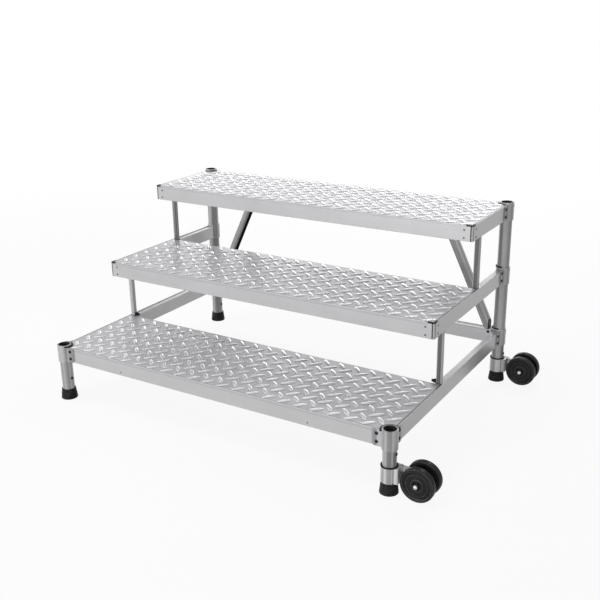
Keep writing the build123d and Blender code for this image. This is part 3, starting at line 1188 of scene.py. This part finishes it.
@dataclass(frozen=True)
class Hardware:
    """Every fastener of the platform, placed from the frame's boxes."""

    palette: Palette
    legs: Sequence[Leg]
    fasteners: Fasteners = Fasteners()
    flange_offset: dict[End, float] = field(default_factory=lambda: {
        End.FRONT: 35 * MM, End.REAR: 40 * MM,
    })
    flange_face: float = 11 * MM
    socket_rise: float = 5 * MM
    upper_drop: dict[Step, float] = field(default_factory=lambda: {
        Step.BOTTOM: 12 * MM, Step.MIDDLE: 8 * MM, Step.TOP: 11 * MM,
    })
    spacing: float = 25 * MM
    lock_height: dict[str, float] = field(default_factory=lambda: {
        "front_left": 73 * MM, "rear_left": 70 * MM,
        "front_right": 121 * MM, "rear_right": 100 * MM,
    })
    lock_sunk: float = 0.4 * MM
    corner_front: float = 28 * MM
    corner_side: float = 21 * MM
    corner_drop: float = 12 * MM
    set_screw_drop: float = 12 * MM
    set_screw_angles: tuple[float, float] = (22.0, 68.0)
    brace_bolt_in: float = 0.5 * MM
    brace_bolt_drop: float = 12 * MM

    def sockets(self) -> list[tuple[str, Leg, Step]]:
        """Each socket's node, its leg and its step.

        Returns:
            The sockets, leg by leg and from the lowest up.
        """
        found = []
        for leg in self.legs:
            if leg.end is End.FRONT:
                found.append((f"socket_{leg.name}", leg, Step.BOTTOM))
            else:
                found += [(f"socket_{leg.name}_{step.label}", leg, step) for step in Step]
        return found

    def flange_poses(self) -> list[np.ndarray]:
        """Two bolts on each flange of each socket.

        Returns:
            The bolts' poses.
        """
        poses = []
        for name, leg, step in self.sockets():
            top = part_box(name)[1].z - self.socket_rise - self.upper_drop[step]
            offset, face = self.flange_offset[leg.end], self.flange_face
            side, outward = leg.side.value, leg.end.value
            for z in (top, top - self.spacing):
                poses.append(pose_at((leg.x + side * face, leg.y - outward * offset, z),
                                     (side, 0, 0)))
                if step is not Step.MIDDLE:
                    poses.append(pose_at((leg.x - side * offset, leg.y + outward * face, z),
                                         (0, outward, 0)))
        return poses

    def set_screw_poses(self) -> list[np.ndarray]:
        """Two set screws on the outer quarter of each socket's sleeve.

        Returns:
            The screws' poses.
        """
        poses = []
        for name, leg, _ in self.sockets():
            radius = abs(leg.side.outer(name) - leg.x)
            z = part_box(name)[1].z - self.set_screw_drop
            for angle in map(math.radians, self.set_screw_angles):
                x, y = leg.side.value * math.cos(angle), leg.end.value * math.sin(angle)
                poses.append(pose_at((leg.x + x * radius, leg.y + y * radius, z), (x, y, 0.0)))
        return poses

    def lock_poses(self) -> list[np.ndarray]:
        """The lock bolt on each leg, on the side towards +X."""
        return [pose_at((Side.RIGHT.outer(f"leg_{leg.name}") - self.lock_sunk, leg.y,
                         self.lock_height[leg.name]), (1, 0, 0)) for leg in self.legs]

    def corner_poses(self) -> list[np.ndarray]:
        """Two screws in each rail beside each corner piece.

        Returns:
            The screws' poses.
        """
        poses = []
        for side in Side:
            for step in UPPER_STEPS:
                node = f"corner_{side.label}_{step.label}"
                low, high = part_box(node)
                x, top = side.outer(node), high.z - self.corner_drop
                for z in (top, top - self.spacing):
                    poses.append(pose_at((x - side.value * self.corner_front, low.y, z),
                                         (0, -1, 0)))
                    poses.append(pose_at((x, low.y + self.corner_side + self.spacing / 4, z),
                                         (side.value, 0, 0)))
        return poses

    def brace_poses(self) -> list[np.ndarray]:
        """A bolt through the rear rail below the foot of each brace.

        Returns:
            The bolts' poses.
        """
        poses = []
        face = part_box("rear_rail_bottom")[0].y
        for side in Side:
            low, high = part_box(f"brace_end_{side.label}")
            x = (low.x + high.x) / 2 - side.value * self.brace_bolt_in
            poses.append(pose_at((x, face, low.z - self.brace_bolt_drop), (0, -1, 0)))
        return poses

    def stud_poses(self) -> list[np.ndarray]:
        """A nut below the middle side rails, where the posts' studs come through.

        Returns:
            The nuts' poses.
        """
        poses = []
        for side in Side:
            low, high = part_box(f"post_{side.label}_middle")
            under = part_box(f"side_rail_{side.label}_middle")[0].z
            poses.append(pose_at(((low.x + high.x) / 2, (low.y + high.y) / 2, under), (0, 0, -1)))
        return poses

    def build(self) -> None:
        """Build the fasteners as one piece for each kind."""
        button, screw = self.fasteners.button(), self.fasteners.screw()
        palette = self.palette
        kinds = (
            ("flange_bolts", button, self.flange_poses(), palette.dark_steel),
            ("lock_bolts", button, self.lock_poses(), palette.dark_steel),
            ("brace_bolts", button, self.brace_poses(), palette.dark_steel),
            ("set_screws", screw, self.set_screw_poses(), palette.socket),
            ("corner_screws", screw, self.corner_poses(), palette.dull_steel),
            ("stud_nuts", self.fasteners.nut(), self.stud_poses(), palette.steel),
        )
        for name, shell, poses, finish in kinds:
            mount(shell.repeated(poses), name, finish, "frame", "axle")


@dataclass(frozen=True)
class RubberFoot:
    """A ribbed rubber cap: a tapered skirt with fine ribs round it."""

    leg: Leg
    palette: Palette
    rib_pitch: float = 4.8 * MM
    rib_depth: float = 0.9 * MM
    rib_steps: int = 6
    lip: float = 4 * MM
    collar: float = 4 * MM
    top_radius: float = 23.2 * MM
    bore: float = 20.1 * MM
    segments: int = 64

    def build(self) -> None:
        """Turn the foot's outline.

        Between lip and collar the radius is the skirt's straight taper plus a rib wave,
        the depth times |cos(pi z / pitch)|.
        """
        low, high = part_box(f"foot_{self.leg.name}")
        base, top, floor = (high.x - low.x) / 2, high.z, self.leg.low
        z = np.arange(self.lip, top - self.collar, self.rib_pitch / self.rib_steps)
        share = (z - self.lip) / (top - self.lip)
        wave = np.abs(np.cos(math.pi * (z - self.lip) / self.rib_pitch))
        radius = base + (self.top_radius - base) * share
        skirt = list(zip(radius - self.rib_depth * (1 - wave), z))
        upper = rounded([(*skirt[-1], 0.0), (self.top_radius, top - self.collar, 0.0),
                         (self.top_radius, top, 1.2 * MM), (self.bore, top, 0.4 * MM),
                         (self.bore, floor, 0.0), (0.0, floor, 0.0)])
        lower = rounded([(0.0, 0.0, 0.0), (base, 0.0, 1.2 * MM), (base, self.lip, 1.0 * MM),
                         (*skirt[1], 0.0)])
        shell = lathe(lower[:-1] + skirt[1:] + upper[1:], self.segments)
        mount(shell.moved(pose_at((self.leg.x, self.leg.y, 0.0))), f"rubber_{self.leg.name}",
              self.palette.rubber, "frame", "black_rubber", f"foot_{self.leg.name}")


@dataclass(frozen=True)
class TwinWheel:
    """The two wheels of one axle, with raised rims, ring grooves and a banded tread."""

    end: End
    palette: Palette
    width: float = 20 * MM
    half_gap: float = 13 * MM
    arm_half: float = 8 * MM
    bore: float = 5.05 * MM
    bore_play: float = 0.05 * MM
    pocket_radius: float = 11 * MM
    pocket_depth: float = 9 * MM
    hub_radius: float = 15 * MM
    head_radius: float = 6.5 * MM
    head_reach: float = 7 * MM
    head_seat: float = 11 * MM
    dome_height: float = 4.5 * MM
    dome_steps: int = 7
    ring_shares: tuple[float, ...] = (0.955, 0.85, 0.65, 0.345)
    segments: int = 96

    def disc(self, radius: float) -> Shell:
        """One wheel about Z, its outer face at zero and its back at minus the width.

        The rows are in millimetres: radius, height and rounding of each corner, from the
        bore over the hub and the back, round the grooved tread, and in across the face.

        Args:
            radius: the wheel's radius.

        Returns:
            The closed shell.
        """
        r, w, bore, hub, pocket, deep, back = (size / MM for size in (
            radius, self.width, self.bore, self.hub_radius, self.pocket_radius,
            self.pocket_depth, self.arm_half - self.width - self.half_gap))
        groove = [(r, 7.2, 0.3), (r - 0.7, 7.6, 0.2), (r - 0.7, 8.4, 0.2), (r, 8.8, 0.3)]
        rows = [
            (bore, -deep, 0.0), (bore, back, 0.0), (hub, back, 0.6), (hub, 1.0 - w, 0.6),
            (r - 12.0, 1.0 - w, 1.0), (r - 9.0, -w, 0.8), (r - 3.0, -w, 1.2), (r, 3.5 - w, 1.5),
            *((edge, height - w, soft) for edge, height, soft in groove),
            *((edge, -height, soft) for edge, height, soft in reversed(groove)),
            (r, -3.5, 1.5), (r - 2.8, 0.0, 1.2), (r - 6.5, 0.0, 0.8), (r - 8.5, -2.6, 0.8),
            (r - 12.0, -3.6, 0.5), (r - 13.0, -5.2, 0.4), (r - 15.0, -5.2, 0.4),
            (r - 16.0, -3.4, 0.5), (pocket + 8.0, -3.4, 0.5), (pocket + 6.0, -2.4, 0.6),
            (pocket + 1.0, -2.4, 0.6), (pocket, -3.6, 0.5), (pocket, -deep, 0.0),
        ]
        return lathe(rounded(np.array(rows) * MM, steps=3), self.segments)

    def build(self) -> None:
        """Build both wheels, and the axle with its domed ends."""
        end = self.end.label
        low, high = box_arrays(f"wheels_{end}")
        centre, radius = (low + high) / 2, (high[2] - low[2]) / 2
        shell = self.disc(radius).repeated([
            pose_at((centre[0], low[1], centre[2]), (0, -1, 0)),
            pose_at((centre[0], high[1], centre[2]), (0, 1, 0)),
        ])
        finish = RingedPlastic(f"wheel plastic {end}", roughness=0.3, centre=tuple(centre),
                               colour=(0.014, 0.014, 0.0145), crest_highlight=(0.10, 0.10, 0.10),
                               rings=tuple(share * radius for share in self.ring_shares))
        mount(shell, f"twin_wheel_{end}", finish.material(), f"{end}_wheels", "wheel",
              f"wheels_{end}", sharp=40.0)
        self.build_axle()

    def build_axle(self) -> None:
        """Turn the axle: a pin with a domed nut at each end.

        The dome is a quarter of an ellipse: radius times cos t, height times sin t.
        """
        node = f"axle_{self.end.label}"
        low, high = box_arrays(node)
        half = (high[1] - low[1]) / 2 + self.head_reach
        seat = half - self.head_seat - self.head_reach
        t = np.linspace(0.0, math.pi / 2, self.dome_steps + 1)[:-1]
        dome = zip(self.head_radius * np.cos(t),
                   half - self.dome_height + self.dome_height * np.sin(t))
        upper = [(self.bore - self.bore_play, seat), (self.head_radius, seat), *dome]
        outline = [(0.0, -half), *((r, -z) for r, z in reversed(upper)), *upper, (0.0, half)]
        shell = lathe(outline, segments=40).moved(pose_at((low + high) / 2, (0, 1, 0)))
        mount(shell, f"axle_pin_{self.end.label}", self.palette.steel, "frame", "axle", node)


@dataclass(frozen=True)
class PostCollar:
    """The low dark collar where a post stands on its side rail.

    The bottom step's posts have a clamp nut beside them too.
    """

    side: Side
    step: Step
    palette: Palette
    height: float = 3 * MM
    wall: float = 1.4 * MM
    play: float = 0.1 * MM
    top_wall: float = 0.6 * MM
    nut_radius: float = 6.5 * MM
    nut_length: float = 15 * MM
    nut_sunk: float = 1 * MM

    def build(self) -> None:
        """Turn the collar's outline round the post, and the nut's about its own axis."""
        name = f"{self.side.label}_{self.step.label}"
        low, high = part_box(f"post_{name}")
        radius, centre = (high.x - low.x) / 2, (low + high) / 2
        inner, outer, h = radius + self.play, radius + self.wall, self.height
        collar = lathe(rounded([
            (inner, 0.0, 0.0), (outer, 0.0, 0.3 * MM), (outer, h * 0.6, 0.8 * MM),
            (radius + self.top_wall, h, 0.5 * MM), (inner, h, 0.0),
        ]), segments=40)
        shells = [collar.moved(pose_at((centre.x, centre.y, low.z)))]
        if self.step is Step.BOTTOM:
            r, length, inward = self.nut_radius, self.nut_length, -self.side.value
            nut = lathe(rounded([
                (0.0, 0.0, 0.0), (r, 0.0, 0.4 * MM), (r, length * 0.55, 0.5 * MM),
                (0.7 * r, length * 0.6, 0.4 * MM), (0.7 * r, length, 1.2 * MM),
                (0.0, length, 0.0),
            ]), segments=24)
            seat = (centre.x + inward * (radius - self.nut_sunk), centre.y, low.z + r)
            shells.append(nut.moved(pose_at(seat, (inward, 0, 0))))
        mount(Shell.joined(shells), f"collar_{name}", self.palette.black,
              "frame", "black_plastic")


@dataclass(frozen=True)
class CornerStrips:
    """Dark strips in the two grooves of each corner piece, as painted shade in the grooves."""

    palette: Palette
    groove_offset: float = 6.6 * MM
    groove_depth: float = 2.4 * MM
    floor_gap: float = 0.1 * MM
    radius: float = 1.65 * MM
    end_gap: float = 0.5 * MM
    steps: int = 9

    def build(self) -> None:
        """Carry a half round strip up each groove, its flat towards the groove's floor."""
        shells = []
        floor = self.groove_depth - self.floor_gap
        for side in Side:
            for step in UPPER_STEPS:
                node = f"corner_{side.label}_{step.label}"
                low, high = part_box(node)
                outer = side.outer(node)
                front = (outer - side.value * self.groove_offset, low.y + floor)
                beside = (outer - side.value * floor, low.y + self.groove_offset)
                for centre, facing in ((front, -90.0), (beside, 90.0 - 90.0 * side.value)):
                    turn = np.radians(facing + np.linspace(-90.0, 90.0, self.steps))
                    outline = np.array(centre) + self.radius * np.stack(
                        [np.cos(turn), np.sin(turn)], axis=-1)
                    shells.append(prism(outline, low.z + self.end_gap, high.z - self.end_gap))
        mount(Shell.joined(shells), "corner_strips", self.palette.corner_groove_shade,
              "frame", "black_plastic")


@dataclass(frozen=True)
class DarkArcs:
    """Black arcs round the legs, on the sides that face the platform's inside.

    Half rings stand on the fillers at the front legs, and short arcs lie on the sockets of
    the two lower steps at the rear right leg.
    """

    legs: Sequence[Leg]
    palette: Palette
    filler_inner: float = 23.45 * MM
    filler_outer: float = 28.9 * MM
    filler_rise: float = 3.2 * MM
    ring_inner: float = 20.1 * MM
    ring_outer: float = 24.6 * MM
    ring_rise: float = 3.6 * MM
    filler_reach: float = 88.0
    ring_reach: float = 55.0

    def profile(self, inner: float, outer: float, rise: float) -> list[tuple[float, float]]:
        """The cross-section, with its upper edges rounded."""
        return rounded([(inner, 0.0, 0.0), (outer, 0.0, 0.4 * MM), (outer, rise, 1.0 * MM),
                        (inner, rise, 0.6 * MM), (inner, 0.5 * rise, 0.0)], steps=3)

    def build(self) -> None:
        """Sweep both kinds about each leg, centred on the direction to the inside."""
        shells = []
        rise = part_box("socket_fillers")[1].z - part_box("tread_top")[1].z
        filler = self.profile(self.filler_inner, self.filler_outer, self.filler_rise)
        ring = self.profile(self.ring_inner, self.ring_outer, self.ring_rise)
        for leg in self.legs:
            if leg.end is End.FRONT:
                profile, reach = filler, self.filler_reach
                seats = [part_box("tread_bottom")[1].z + rise]
            elif leg.side is Side.RIGHT:
                profile, reach = ring, self.ring_reach
                seats = [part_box(f"socket_{leg.name}_{step.label}")[1].z for step in LOWER_STEPS]
            else:
                continue
            inside = math.degrees(math.atan2(-leg.end.value, -leg.side.value))
            shell = arc(profile, inside - reach, inside + reach)
            # pose_at turns a shell that stands upright by -90 degrees, so it is turned back
            shells += [shell.moved(pose_at((leg.x, leg.y, seat), turn=90.0)) for seat in seats]
        mount(Shell.joined(shells), "dark_arcs", self.palette.black, "frame", "black_plastic")


@dataclass(frozen=True)
class DrainHoleShades:
    """Dark discs inside the two small holes of the bottom front rail, as painted shade in the
    holes.
    """

    palette: Palette
    spacing: float = 695 * MM
    height: float = 11 * MM
    radius: float = 2.15 * MM
    sunk: float = 0.3 * MM
    thickness: float = 0.6 * MM

    def build(self) -> None:
        """Turn one disc and set it in each hole."""
        low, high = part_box("front_rail_bottom")
        r, t = self.radius, self.thickness
        disc = lathe([(0.0, -t), (r, -t), (r, 0.0), (0.0, 0.0)], segments=20)
        middle = (low.x + high.x) / 2
        poses = [pose_at((middle + share * self.spacing, low.y + self.sunk, low.z + self.height),
                         (0, -1, 0)) for share in (-0.5, 0.5)]
        mount(disc.repeated(poses), "drain_hole_shades", self.palette.black, "frame", "black_plastic")


@dataclass(frozen=True)
class BraceStrips:
    """The black strip along the lower side of each rear brace: painted shade on that side."""

    palette: Palette
    cover: float = 22 * MM
    thickness: float = 0.9 * MM
    end_gap: float = 1 * MM

    def build(self) -> None:
        """Shear an upright strip: each point moves along X with its height."""
        shells = []
        for side in Side:
            low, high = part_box(f"brace_{side.label}")
            lean = brace_lean(side)
            top_inner = low.x if side is Side.RIGHT else high.x
            face = top_inner - lean * (high.z - low.z)
            back = face - side.value * self.thickness * math.hypot(1.0, lean)
            left, right = sorted((face, back))
            middle, half = (low.y + high.y) / 2, self.cover / 2
            outline = np.array([(left, middle - half), (right, middle - half),
                                (right, middle + half), (left, middle + half)])
            strip = prism(outline, low.z + self.end_gap, high.z - self.end_gap)
            points = strip.points.copy()
            points[:, 0] += lean * (points[:, 2] - low.z)
            shells.append(replace(strip, points=points))
        mount(Shell.joined(shells), "brace_strips", self.palette.liner,
              "frame", "black_plastic")


@dataclass(frozen=True)
class Platform:
    """The CAD nodes that keep their shape and get their finish."""

    palette: Palette
    nodes: dict[str, bpy.types.Object]
    legs: Sequence[Leg]

    def finish_of(self, name: str) -> bpy.types.Material:
        """The finish of a node, from its name.

        Args:
            name: the node's name.

        Returns:
            The material; rails along X have the last one.
        """
        p = self.palette
        starts = (
            ("side_rail_", p.rail_y), ("post_", p.upright), ("brace_end_", p.black),
            ("corner_caps", p.black), ("corner_", p.corner), ("socket_fillers", p.black),
            ("socket_", p.socket), ("bracket_liner_", p.black), ("wheel_bracket_", p.bracket),
            ("foot_", p.rubber), ("wheels_", p.black), ("axle_", p.steel), ("", p.rail_x),
        )
        return next(finish for start, finish in starts if name.startswith(start))

    def build(self) -> None:
        """Dress every node; legs, braces and treads get finishes of their own."""
        for name, node in self.nodes.items():
            dress(node, self.finish_of(name))
        for leg in self.legs:
            tube = InsideShadedTube(f"leg tube {leg.name}", grain=Axis.Z.value, colour=TUBE_COLOUR,
                             roughness=TUBE_ROUGHNESS, metallic=TUBE_METALLIC, bands=0.35,
                             centre=(leg.x, leg.y))
            dress(self.nodes[f"leg_{leg.name}"], tube.material())
        for side in Side:
            low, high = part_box(f"brace_{side.label}")
            lean = brace_lean(side)
            length = math.hypot(1.0, lean)
            brace = BraceTube(f"brace tube {side.label}", grain=(lean / length, 0.0, 1.0 / length),
                              colour=(0.42, 0.42, 0.43), bands=0.4, middle_y=(low.y + high.y) / 2)
            dress(self.nodes[f"brace_{side.label}"], brace.material())
        for step in Step:
            low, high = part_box(f"tread_{step.label}")
            half = (high - low) / 2
            sheet = CheckerSheet(f"checker plate {step.label}", middle=tuple((low + high) / 2),
                                 half=(half.x, half.y))
            dress(self.nodes[f"tread_{step.label}"], sheet.material())
        LOG.info("platform: %d nodes dressed", len(self.nodes))


# Studio


def seen_ray(graph: Graph) -> Value:
    """One for a ray that shows the background: from the camera, in gloss or through glass.

    Args:
        graph: the graph to add to.

    Returns:
        One or zero.
    """
    path = graph.new("ShaderNodeLightPath").outputs
    seen = Value(graph, path["Is Camera Ray"])
    for ray in ("Is Glossy Ray", "Is Transmission Ray"):
        seen = seen.math("MAXIMUM", Value(graph, path[ray]))
    return seen


@dataclass(frozen=True)
class Floor:
    """A pale round floor that fades into the white background."""

    radius: float = 7.0
    rings: int = 24
    segments: int = 96
    colour: Colour = (0.5, 0.5, 0.5)
    whiteness: float = 0.9
    fade_start: float = 1.6
    fade_end: float = 4.0

    def material(self) -> bpy.types.Material:
        """A diffuse floor, mostly white where it is seen, that turns clear to its edge.

        Returns:
            The material.
        """
        material = bpy.data.materials.new("studio floor")
        graph = Graph(material)
        x, y, _ = graph.xyz()
        edge = ((x * x + y * y) ** 0.5).between(self.fade_start, self.fade_end)
        diffuse = graph.add("ShaderNodeBsdfDiffuse", {"Color": (*self.colour, 1.0)})
        pale = graph.add("ShaderNodeBsdfDiffuse", {"Color": WHITE})
        white = graph.add("ShaderNodeEmission", {"Color": WHITE})
        seen = graph.blend(self.whiteness, pale, white)
        floor = graph.blend(seen_ray(graph), diffuse, seen)
        graph.surface(graph.blend(edge, floor, graph.add("ShaderNodeBsdfTransparent")))
        return material

    def build(self) -> None:
        """A disc of rings: point (i, j) is at radius R i / n and angle 2 pi j / m."""
        radius = self.radius * np.arange(1, self.rings + 1) / self.rings
        points = swept(np.column_stack([radius, np.zeros(self.rings)]), full_turn(self.segments))
        quads = grid_faces(self.rings, self.segments, wrap_rows=False)[:, ::-1]
        triangles = pole_faces(len(points), 0, self.segments)
        points = np.vstack([points, [0.0, 0.0, 0.0]])
        floor = Shell(points, quads, triangles).build("studio_floor", self.material())


@dataclass(frozen=True)
class Softbox:
    """One soft lamp that looks at the object."""

    name: str
    place: Vec
    size: tuple[float, float]
    power: float

    def build(self, target: Vec) -> None:
        """Add the lamp.

        Args:
            target: the point that it looks at.
        """
        light = bpy.data.lights.new(self.name, "AREA")
        light.shape = "RECTANGLE"
        light.size, light.size_y = self.size
        light.energy = self.power
        lamp = bpy.data.objects.new(self.name, light)
        away = np.array(self.place) - np.array(target)
        lamp.matrix_world = Matrix(pose_at(self.place, away).tolist())
        bpy.context.scene.collection.objects.link(lamp)


@dataclass(frozen=True)
class Studio:
    """World, lamps and colour settings."""

    daylight: float = 0.24
    boxes: tuple[Softbox, ...] = (
        Softbox("top box", (-1.3, -1.0, 3.2), (1.6, 1.6), 28.0),
        Softbox("back top box", (0.4, 2.5, 2.7), (1.2, 1.2), 32.0),
        Softbox("front box", (-0.2, -3.7, 0.7), (2.8, 1.3), 52.0),
        Softbox("left box", (-3.0, -0.8, 1.1), (1.8, 1.8), 12.0),
        Softbox("back strip", (-1.5, 3.3, 0.84), (2.8, 0.85), 25.0),
    )
    target: Vec = (0.0, 0.0, 0.3)

    def build(self) -> None:
        """Set the world and the lamps.

        The world is white to the camera, to gloss and through glass, and a soft even
        light for all else.
        """
        world = bpy.data.worlds.new("studio")
        bpy.context.scene.world = world
        graph = Graph(world)
        strength = self.daylight + (1.0 - self.daylight) * seen_ray(graph)
        inputs = {"Color": WHITE, "Strength": strength}
        graph.surface(graph.add("ShaderNodeBackground", inputs))
        for box in self.boxes:
            box.build(self.target)
        bpy.context.scene.view_settings.view_transform = "Standard"
        LOG.info("studio: %d softboxes", len(self.boxes))


@dataclass(frozen=True)
class Viewpoint:
    """The photograph's camera: azimuth from -Y towards +X, height, roll and focal length.

    Angles are in degrees, and the focal length is in pixels of the square picture.
    """

    azimuth: float = 31.754
    elevation: float = 19.598
    roll: float = -0.922
    distance: float = 2.9144
    focal_pixels: float = 889.79
    picture: float = 600.0
    sensor: float = 36.0
    target: Vec = (0.01188, -0.01847, 0.33298)

    def build(self) -> None:
        """Place the camera: from the target, along the direction back to it."""
        azimuth, height = math.radians(self.azimuth), math.radians(self.elevation)
        back = np.array([math.sin(azimuth) * math.cos(height),
                         -math.cos(azimuth) * math.cos(height), math.sin(height)])
        pose = pose_at(np.array(self.target) + back * self.distance, back, self.roll)
        data = bpy.data.cameras.new("photo camera")
        data.sensor_width = self.sensor
        data.lens = self.focal_pixels / self.picture * self.sensor
        data.clip_start, data.clip_end = 0.05, 100.0
        camera = bpy.data.objects.new("photo camera", data)
        camera.matrix_world = Matrix(pose.tolist())
        bpy.context.scene.collection.objects.link(camera)
        bpy.context.scene.camera = camera


def main() -> None:
    """Build the object's looks in order, then the studio and the camera."""
    logging.basicConfig(level=logging.INFO, format="%(message)s")
    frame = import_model()
    rails = [name for name in frame["nodes"] if name.startswith(("front_r", "rear_r", "cross"))]
    grooves = {round(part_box(name)[1].z - BEAD_DEPTH, 5) for name in rails}
    palette = Palette.make(tuple(sorted(grooves)))
    legs = [Leg.read(end, side) for end in End for side in Side]
    Platform(palette, frame["nodes"], legs).build()
    cut_out_by = {Step.BOTTOM: End.FRONT, Step.TOP: End.REAR}
    for step in Step:
        CheckerPlate(step).build([leg for leg in legs if leg.end is cut_out_by.get(step)])
    Hardware(palette, legs).build()
    for leg in legs:
        RubberFoot(leg, palette).build()
    for side in Side:
        for step in LOWER_STEPS:
            PostCollar(side, step, palette).build()
    CornerStrips(palette).build()
    DarkArcs(legs, palette).build()
    DrainHoleShades(palette).build()
    BraceStrips(palette).build()
    for end in End:
        TwinWheel(end, palette).build()
    Floor().build()
    Studio().build()
    Viewpoint().build()


if __name__ == "__main__":
    main()
